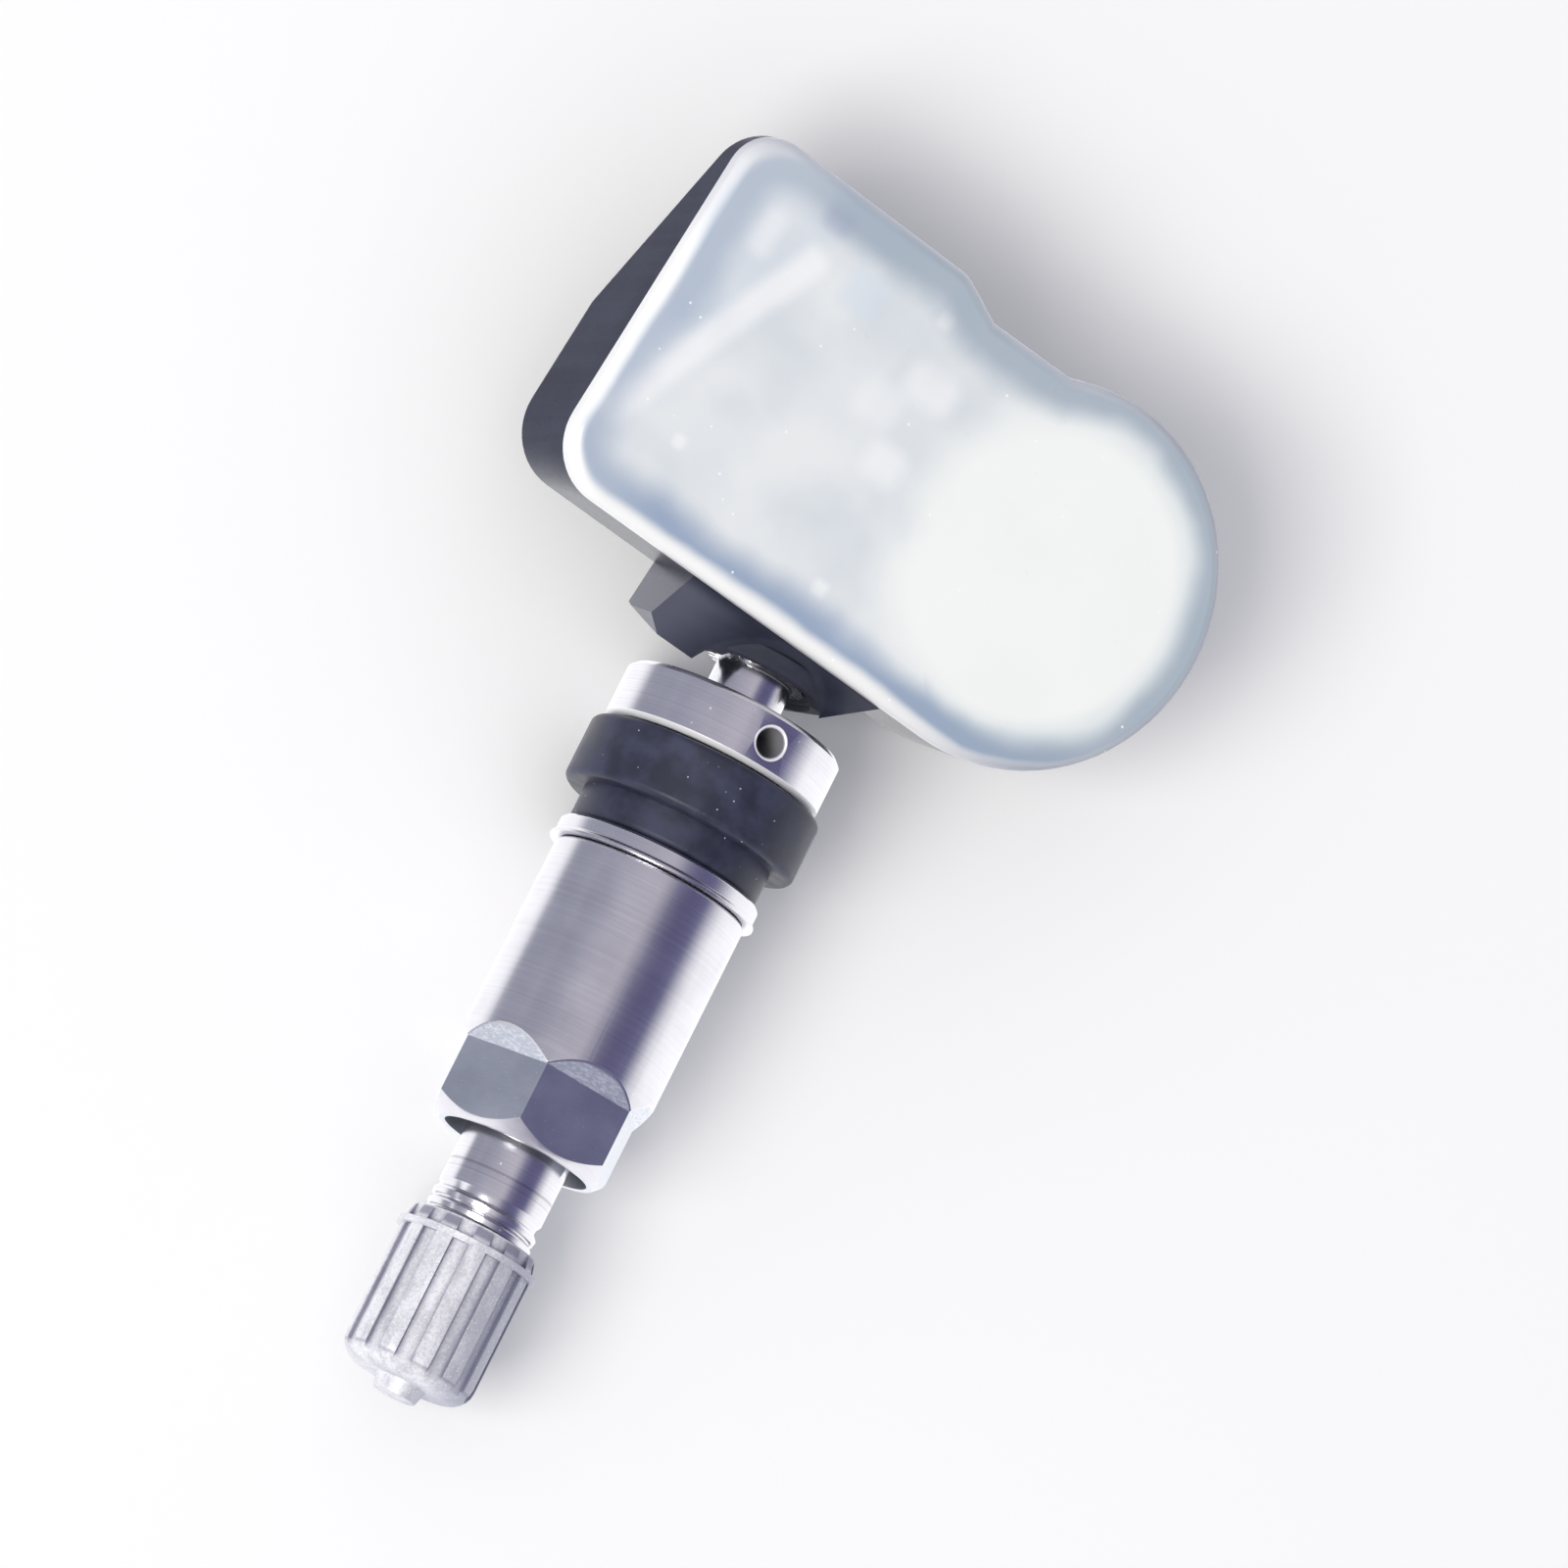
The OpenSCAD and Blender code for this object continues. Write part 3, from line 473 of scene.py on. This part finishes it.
def black_plastic():
    """Moulded black plastic: a fine grain, paler scuffs, a dull dish and a pale sheen painted on one side
    of the bracket.
    """
    f = new_finish("tray_plastic")
    place = f.place()
    grain = f.noise(place, 6.0, 4.0, 0.6)
    cloudy = f.noise(place, 0.25, 3.0)
    x, y, z = f.parts(place)
    flow = f.noise(f.point(x * 0.3, y * 1.6, 0), 1.0, 3.0)
    scuff = f.noise(place, 1.4, 5.0, 0.75).fade(0.66, 0.76)
    tone = (cloudy * 0.6 + flow * 0.4).fade(0.35, 0.65)
    body = tone.blend((0.015, 0.018, 0.035), (0.028, 0.032, 0.057))
    inside_step = 1 - (x * x + z * z).root().fade(DISH_R - 0.1, DISH_R + 0.3)
    dish = inside_step * y.fade(RIM_SEAT + 0.5, RIM_SEAT + 1.1)
    along, across, _ = f.parts(f.housing_place())
    # Painted sheen: the bracket's main face paler towards the square end, as where light catches it
    sheen_end = along.fade(BRACKET_SHEEN_X, BRACKET_SHEEN_X - BRACKET_SHEEN_L)
    bracket_sheen = sheen_end * across.fade(BRACKET_ROOT_Y, BRACKET_ROOT_Y - 1)
    body = (bracket_sheen * 0.8).blend(body, (0.10, 0.105, 0.15))
    return f.surface({
        "Base Color": (scuff * 0.3).blend(body, (0.10, 0.11, 0.16)), "Metallic": 0.0,
        "Roughness": 0.34 + (grain - 0.5) * 0.22 + scuff * 0.12 + dish * 0.4, "Specular IOR Level": 0.5,
        "Normal": f.bump(grain, 0.22, 0.03)
    })


def milky_cover():
    """Clouded potting: a rim painted pale where its edge catches the lamp and dark as painted shade on the
    far side, a bluish band inside it, and soft pale shapes from below.
    """
    f = new_finish("milky_cover")
    point = f.housing_place()
    x, y, _ = f.parts(point)
    warp = f.noise(point, 0.22, 2.0)
    mist = f.noise(point, 0.10, 2.5, 0.5)
    curd = f.noise(point, 0.9, 4.0, 0.6)

    # How far the point is inside the outline, up to the corner radius
    from_near = y + NEAR_EDGE
    from_far = FAR_EDGE - y
    slope_x, slope_y = math.cos(SLOPE_NORMAL), math.sin(SLOPE_NORMAL)
    from_slope = WAIST_START * slope_x + WAIST_EDGE * slope_y - x * slope_x - y * slope_y
    from_waist = WAIST_EDGE - y
    dx, dy = x - HOUSING_END_X, y
    from_end = HOUSING_END_R - (dx * dx + dy * dy).root()
    upper = from_waist.most(from_slope.least(from_far))
    body = upper.least(HOUSING_END_X - x)
    whole = from_end.most(body)

    def rounded(one, other):
        """The distance inside a corner between two edges."""
        a, b = (CORNER_R - one).most(0), (CORNER_R - other).most(0)
        return CORNER_R - (a * a + b * b).root()

    inside = rounded(x, from_near).least(rounded(x, whole)).least(whole).least(from_near)

    def spot(at_x, at_y, half_w, half_h, soft):
        """1 inside a rounded rectangle, fading over soft millimetres."""
        wide = (abs(x - at_x) - half_w).most(0)
        high = (abs(y - at_y) - half_h).most(0)
        return 1 - (wide * wide + high * high).root().fade(0, soft)

    def band(at_x, at_y, to_x, to_y, half_w, soft):
        """1 along a line, fading over soft millimetres, and the distance off that line."""
        length = math.hypot(to_x - at_x, to_y - at_y)
        ux, uy = (to_x - at_x) / length, (to_y - at_y) / length
        along = (x - at_x) * ux + (y - at_y) * uy
        off = (x - at_x) * uy - (y - at_y) * ux
        over = (abs(along - length / 2) - length / 2).most(0)
        side = (abs(off) - half_w).most(0)
        return 1 - (over * over + side * side).root().fade(0, soft), off

    from_cell = (dx * dx + dy * dy).root()
    cell = 1 - ((from_cell - CELL_R) * (1 - dx.fade(4, -8) * 0.6)).fade(-0.6, 1.4)
    cell_edge = 1 - abs(from_cell - CELL_R - 1.0).fade(0.2, 1.8)
    streak, off_streak = band(1.6, -7.5, 8.0, 8.4, 0.3, 1.4)
    beyond_streak = off_streak.fade(0.3, -1.0)

    # Rim and band grow narrower towards the far side and the round end, and are painted darker there as
    # shade where the lamp leaves them darker
    far_side = (x * 0.62 + y).fade(2, 22)
    round_end = x.fade(26, 40) * far_side
    inside = inside * (1 + x.fade(24, 34) * 0.5)
    narrow = 0.35 + y.fade(-12, -9) * 0.35 + y.fade(2, 8) * (1 - x.fade(24, 32)) * 0.4
    rim = 1 - (inside + narrow + (warp - 0.5) * 0.5).fade(0.7, 1.8)
    past_rim = (inside + narrow + (warp - 0.5) * 0.6).fade(0.8, 1.9)
    shade = past_rim * (1 - (inside + (mist - 0.5) * 3.6).fade(1.6, 4.3))

    clouds = (mist * 0.75 + warp * 0.25).fade(0.30, 0.70)
    colour = clouds.blend((0.63, 0.68, 0.73), (0.77, 0.79, 0.81))
    colour = (beyond_streak * 0.35).blend(colour, (0.58, 0.64, 0.74))
    colour = (cell * 0.85).blend(colour, (0.885, 0.90, 0.89))
    colour = (cell_edge * (1 - cell * 0.5) * dx.fade(-8, 2) * 0.28).blend(colour, (0.68, 0.77, 0.78))
    colour = (streak * 0.7).blend(colour, (0.88, 0.89, 0.91))
    for at_x, at_y, half_w, half_h, soft, share, tint in PALE_SHAPES:
        colour = (spot(at_x, at_y, half_w, half_h, soft) * share).blend(colour, tint)
    band_tint = far_side.blend((0.27, 0.35, 0.50), (0.29, 0.36, 0.45))
    colour = (shade * (0.75 - x.fade(9, 4) * 0.2 + y.fade(-7, -10) * 0.15)).blend(colour, band_tint)
    # Painted light on the rim: pale on the near side where its edge catches the lamp, dark as painted shade
    # on the far side and darkest at the round end
    rim_tint = far_side.blend((0.86, 0.86, 0.87), (0.40, 0.42, 0.50))
    rim_tint = round_end.blend(rim_tint, (0.21, 0.24, 0.33))
    colour = (rim * (1 - far_side * 0.1)).blend(colour, rim_tint)
    specks = f.specks(point, 0.85, 0.10, 0.22)
    colour = (specks * 0.8).blend(colour, (0.95, 0.95, 0.97))
    return f.surface({
        "Base Color": colour, "Metallic": 0.0,
        "Roughness": 0.30 + (curd - 0.5) * 0.14 + rim * 0.08, "Specular IOR Level": 0.4,
        "Coat Weight": 0.15, "Coat Roughness": 0.12,
        "Normal": f.bump(curd * 0.5 + specks * 0.4, 0.12, 0.06)
    })


def mottled(name, pale, deep, dull, scale, metal=0.0, relief=0.15):
    """A small inner part's finish: two close tones in a fine grain."""
    f = new_finish(name)
    place = f.place()
    grain = f.noise(place, scale, 4.0, 0.6)
    broad = f.noise(place, scale * 0.15, 2.0)
    tone = (grain * 0.6 + broad * 0.4).fade(0.36, 0.64)
    return f.surface({
        "Base Color": tone.blend(deep, pale), "Metallic": metal,
        "Roughness": dull + (grain - 0.5) * 0.2, "Normal": f.bump(grain, relief, 0.03)
    })


FINISHES = {
    "turned_aluminium": turned_metal("washer_metal", (0.76, 0.75, 0.79), 0.24, 0.8),
    "grommet_rubber": black_rubber("grommet_rubber"),
    "seal_rubber": black_rubber("seal_rubber", (0.03, 0.03, 0.036)),
    "core_brass": turned_metal("core_brass", (0.78, 0.62, 0.30), 0.30),
    "core_seal_white": mottled("core_seal_white", (0.86, 0.85, 0.80), (0.74, 0.73, 0.68), 0.5, 3.0),
    "spring_steel": mottled("spring_steel", (0.62, 0.62, 0.65), (0.45, 0.45, 0.48), 0.3, 5.0, 1.0),
    "screw_steel": turned_metal("screw_steel", (0.50, 0.50, 0.54), 0.34),
    "cap_silver": cast_cap(),
    "tray_plastic": black_plastic(),
    "milky_cover": milky_cover(),
    "board_green": mottled("board_green", (0.05, 0.20, 0.14), (0.03, 0.13, 0.09), 0.4, 1.5),
    "cell_steel": mottled("cell_steel", (0.70, 0.71, 0.73), (0.56, 0.57, 0.60), 0.32, 2.5, 1.0),
    "tab_nickel": mottled("tab_nickel", (0.66, 0.65, 0.58), (0.50, 0.49, 0.44), 0.35, 3.0, 1.0),
    "chip_black": mottled("chip_black", (0.05, 0.05, 0.055), (0.03, 0.03, 0.035), 0.5, 5.0),
    "filter_white": mottled("filter_white", (0.88, 0.88, 0.86), (0.74, 0.74, 0.73), 0.7, 8.0, 0.0, 0.4),
    "chip_pale": mottled("chip_pale", (0.80, 0.80, 0.81), (0.64, 0.64, 0.66), 0.4, 3.0),
    "coil_white": mottled("coil_white", (0.84, 0.84, 0.82), (0.70, 0.70, 0.68), 0.45, 3.0),
    "ceramic_tan": mottled("ceramic_tan", (0.55, 0.45, 0.32), (0.40, 0.32, 0.22), 0.5, 4.0),
}


def choose(piece):
    """Leaves only this piece selected and active."""
    bpy.ops.object.select_all(action="DESELECT")
    piece.select_set(True)
    bpy.context.view_layer.objects.active = piece


def dress(piece, finish, body):
    """Gives a piece its finish and its body."""
    piece.data.materials.clear()
    piece.data.materials.append(finish)
    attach(piece, body)


def finer(node, name, finish, edge, segments=2, smooth=32):
    """A copy of a solid as one closed skin, its sharp edges rounded, that stands for the node."""
    source = frame["nodes"][node]
    piece = bpy.data.objects.new(name, source.data.copy())
    bpy.context.scene.collection.objects.link(piece)
    choose(piece)
    bpy.ops.object.mode_set(mode="EDIT")
    bpy.ops.mesh.select_mode(type="EDGE")
    bpy.ops.mesh.select_all(action="SELECT")
    bpy.ops.mesh.remove_doubles(threshold=MERGE)
    bpy.ops.mesh.dissolve_limited(angle_limit=math.radians(FLAT))
    if edge:
        bpy.ops.mesh.select_all(action="DESELECT")
        bpy.ops.mesh.edges_select_sharp(sharpness=math.radians(SHARP))
        bpy.ops.mesh.bevel(offset=edge * MM, segments=segments, profile=0.5, clamp_overlap=True)
    bpy.ops.object.mode_set(mode="OBJECT")
    if piece.data.has_custom_normals:
        bpy.ops.mesh.customdata_custom_splitnormals_clear()
    bpy.ops.object.shade_smooth_by_angle(angle=math.radians(smooth))
    even = piece.modifiers.new("even", "WEIGHTED_NORMAL")
    even.keep_sharp = True
    bpy.ops.object.modifier_apply(modifier="even")
    dress(piece, finish, source["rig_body"])
    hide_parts(node)
    return piece


def cut_back_threads(stem):
    """Takes the stem's tip, and its body under the nut, down to the roots of their threads."""
    tip_share = (THREAD_R - THREAD_DEPTH) / THREAD_R
    body_share = (BODY_R - BODY_THREAD_DEPTH) / BODY_R
    for v in stem.data.vertices:
        from_axis = math.hypot(v.co.x, v.co.z)
        share = 1
        if from_axis > TIP_OUTSIDE_R * MM and v.co.y < station(THREAD_START + 0.2):
            share = tip_share
        on_body = station(BODY_END + 0.2) < v.co.y < station(COLLAR_T + 0.1)
        if on_body and abs(from_axis - BODY_R * MM) < ON_SIDE * MM:
            share = body_share
        v.co.x *= share
        v.co.z *= share


def close_ends(piece, smooth):
    """Closes the two open ends of a wound piece, turns its faces outwards and smooths it."""
    choose(piece)
    bpy.ops.object.mode_set(mode="EDIT")
    bpy.ops.mesh.select_mode(type="EDGE")
    bpy.ops.mesh.select_all(action="SELECT")
    bpy.ops.mesh.remove_doubles(threshold=MERGE)
    bpy.ops.mesh.select_all(action="DESELECT")
    bpy.ops.mesh.select_non_manifold()
    bpy.ops.mesh.edge_face_add()
    bpy.ops.mesh.select_all(action="SELECT")
    bpy.ops.mesh.normals_make_consistent(inside=False)
    bpy.ops.object.mode_set(mode="OBJECT")
    bpy.ops.object.shade_smooth_by_angle(angle=math.radians(smooth))


def wound_thread(name, radius, pitch, start, end):
    """A thread on the stem: one rounded ridge wound round the axis from one station to another."""
    turns = int((end - start - PLAIN_END) / pitch)
    size = pitch / THREAD_PITCH
    height = RIDGE_H * size * MM
    root = (radius - CREST_IN * size) * MM - height
    bpy.ops.object.select_all(action="DESELECT")
    at = (radius * MM, 0, 0)
    bpy.ops.mesh.primitive_circle_add(vertices=5, radius=RIDGE_W * MM, fill_type="NOTHING", location=at)
    ridge = bpy.context.active_object
    ridge.name = name
    bpy.ops.object.transform_apply(location=True, rotation=True, scale=True)
    low = min(v.co.x for v in ridge.data.vertices)
    high = max(v.co.x for v in ridge.data.vertices)
    for v in ridge.data.vertices:
        v.co.x = root + (v.co.x - low) / (high - low) * height
        v.co.y = v.co.y * RIDGE_SHARE * size + station(start + FIRST_TURN_IN * size)
    wind = ridge.modifiers.new("wind", "SCREW")
    wind.axis = "Y"
    wind.screw_offset = -pitch * MM
    wind.iterations = turns
    wind.steps = 48
    wind.render_steps = 48
    wind.use_merge_vertices = False
    bpy.ops.object.modifier_apply(modifier="wind")
    close_ends(ridge, 40)
    dress(ridge, stem_finish, "valve")


def seat_lips():
    """Two moulded lips round the ball seat, standing proud of the bracket's slope."""
    mesh = bpy.data.meshes.new("seat_lips")
    count = len(LIPS_PROFILE)
    places = [(r * MM, station(s), 0) for r, s in LIPS_PROFILE]
    mesh.from_pydata(places, [(i, (i + 1) % count) for i in range(count)], [])
    lips = bpy.data.objects.new("seat_lips", mesh)
    bpy.context.scene.collection.objects.link(lips)
    for v in mesh.vertices:
        v.co = Matrix.Rotation(math.radians(LIPS_FROM), 3, "Y") @ v.co
    choose(lips)
    wind = lips.modifiers.new("wind", "SCREW")
    wind.axis = "Y"
    wind.angle = math.radians(LIPS_TURN)
    wind.steps = 56
    wind.render_steps = 56
    bpy.ops.object.modifier_apply(modifier="wind")
    close_ends(lips, 50)
    dress(lips, FINISHES["tray_plastic"], "housing")


stem_finish = stem_metal()
seat_lips()
stem = finer("valve_stem", "stem", stem_finish, 0.05, smooth=20)
cut_back_threads(stem)
wound_thread("cap_thread", THREAD_R, THREAD_PITCH, THREAD_START, TIP)
wound_thread("nut_thread", BODY_R, NUT_PITCH, NUT_THREAD_START, BODY_END)
finer("grommet", "grommet_moulding", FINISHES["grommet_rubber"], 0)
finer("nut_washer", "washer", FINISHES["turned_aluminium"], 0.04)
finer("hex_nut", "sleeve_nut", nut_metal(), 0.06, smooth=20)
finer("valve_cap", "ribbed_cap", FINISHES["cap_silver"], 0.09, 3)
finer("housing_tray", "tray", FINISHES["tray_plastic"], 0.12)
finer("cover", "potted_cover", FINISHES["milky_cover"], 0)

slots = {part["node"]: part["material_slot"] for part in frame["record"]["subparts"]}
for node, solid in frame["nodes"].items():
    for place in solid.material_slots:
        place.material = FINISHES[slots[node]]


def make_floor():
    """A pale floor just under the grommet: it keeps the shadow, and to the metal it glows brighter than
    white, with a painted grey patch to the left of the valve.
    """
    bpy.ops.object.select_all(action="DESELECT")
    lowest = cad_box[0][2]
    bpy.ops.mesh.primitive_plane_add(size=3, location=(0, 0, lowest - FLOOR_GAP * MM))
    floor = bpy.context.active_object
    floor.name = "floor"
    f = new_finish("floor")
    place = f.place()
    cloud = f.noise(place, 0.004, 2.0)
    paper = f.node("ShaderNodeBsdfPrincipled", {}, {
        "Base Color": cloud.blend((0.93, 0.93, 0.95), (0.95, 0.95, 0.965)), "Roughness": 0.85,
        "Specular IOR Level": 0.1
    })
    x, y, _ = f.parts(place)
    # Painted reflection: what the metal sees of the floor, a glow brighter than white and a grey patch left
    # of the valve
    left = x.fade(-14, -24) * y.fade(-55, -40)
    shown = f.node("ShaderNodeEmission", {}, {0: left.blend((1.3, 1.3, 1.32), (0.38, 0.39, 0.47)), 1: 1.0})
    glossy = f.node("ShaderNodeLightPath", output="Is Glossy Ray")
    mixed = f.node("ShaderNodeMixShader", {}, {0: glossy, 1: paper, 2: shown})
    f.node("ShaderNodeOutputMaterial", {}, {0: mixed})
    floor.data.materials.append(f.owner)


def make_lamp(name, towards, distance, size, power, colour):
    """A soft square lamp that shines on the sensor from a direction."""
    towards = Vector(towards).normalized()
    lamp = bpy.data.objects.new(name, bpy.data.lights.new(name, "AREA"))
    bpy.context.scene.collection.objects.link(lamp)
    lamp.location = towards * distance
    lamp.rotation_euler = towards.to_track_quat("Z", "Y").to_euler()
    lamp.data.size = size
    lamp.data.energy = power
    lamp.data.color = colour


def make_world():
    """White to the camera; to the metal a studio, grey on the left and dark above the right."""
    world = bpy.data.worlds.new("studio")
    bpy.context.scene.world = world
    f = Finish(world)
    x, _, z = f.parts(f.node("ShaderNodeTexCoord", output="Generated"))
    angle = f.node("ShaderNodeMath", {"operation": "ARCTAN2"}, {0: x, 1: z}) / math.tau + 0.5
    ramp = f.node("ShaderNodeValToRGB", {"stops": [
        (0.0, (0.64, 0.64, 0.70)), (0.22, (0.40, 0.40, 0.46)), (0.28, (0.29, 0.30, 0.37)),
        (0.40, (0.37, 0.36, 0.42)), (0.48, (0.48, 0.46, 0.51)), (0.52, (0.16, 0.16, 0.25)),
        (0.56, (0.10, 0.09, 0.18)), (0.63, (0.11, 0.11, 0.22)), (0.71, (1.0, 1.0, 1.0)),
        (0.80, (1.0, 1.0, 1.0))]}, {0: angle})
    studio = f.node("ShaderNodeBackground", {}, {0: ramp, 1: 1.25})
    side = x.fade(-0.9, 0.9).blend((0.80, 0.80, 0.84), (0.42, 0.42, 0.455))
    fill = f.node("ShaderNodeBackground", {}, {0: side, 1: 1.0})
    white = f.node("ShaderNodeBackground", {}, {0: (0.97, 0.965, 0.97), 1: 1.0})
    glossy = f.node("ShaderNodeLightPath", output="Is Glossy Ray")
    seen = f.node("ShaderNodeLightPath", output="Is Camera Ray")
    light = f.node("ShaderNodeMixShader", {}, {0: glossy, 1: fill, 2: studio})
    mix = f.node("ShaderNodeMixShader", {}, {0: seen, 1: light, 2: white})
    f.node("ShaderNodeOutputWorld", {}, {0: mix})


make_floor()
make_world()
make_lamp("key", (-0.562, -0.388, 0.731), 1.5, 0.60, 14.0, (1.0, 0.98, 0.89))
make_camera()

bpy.context.scene.view_settings.view_transform = "Standard"
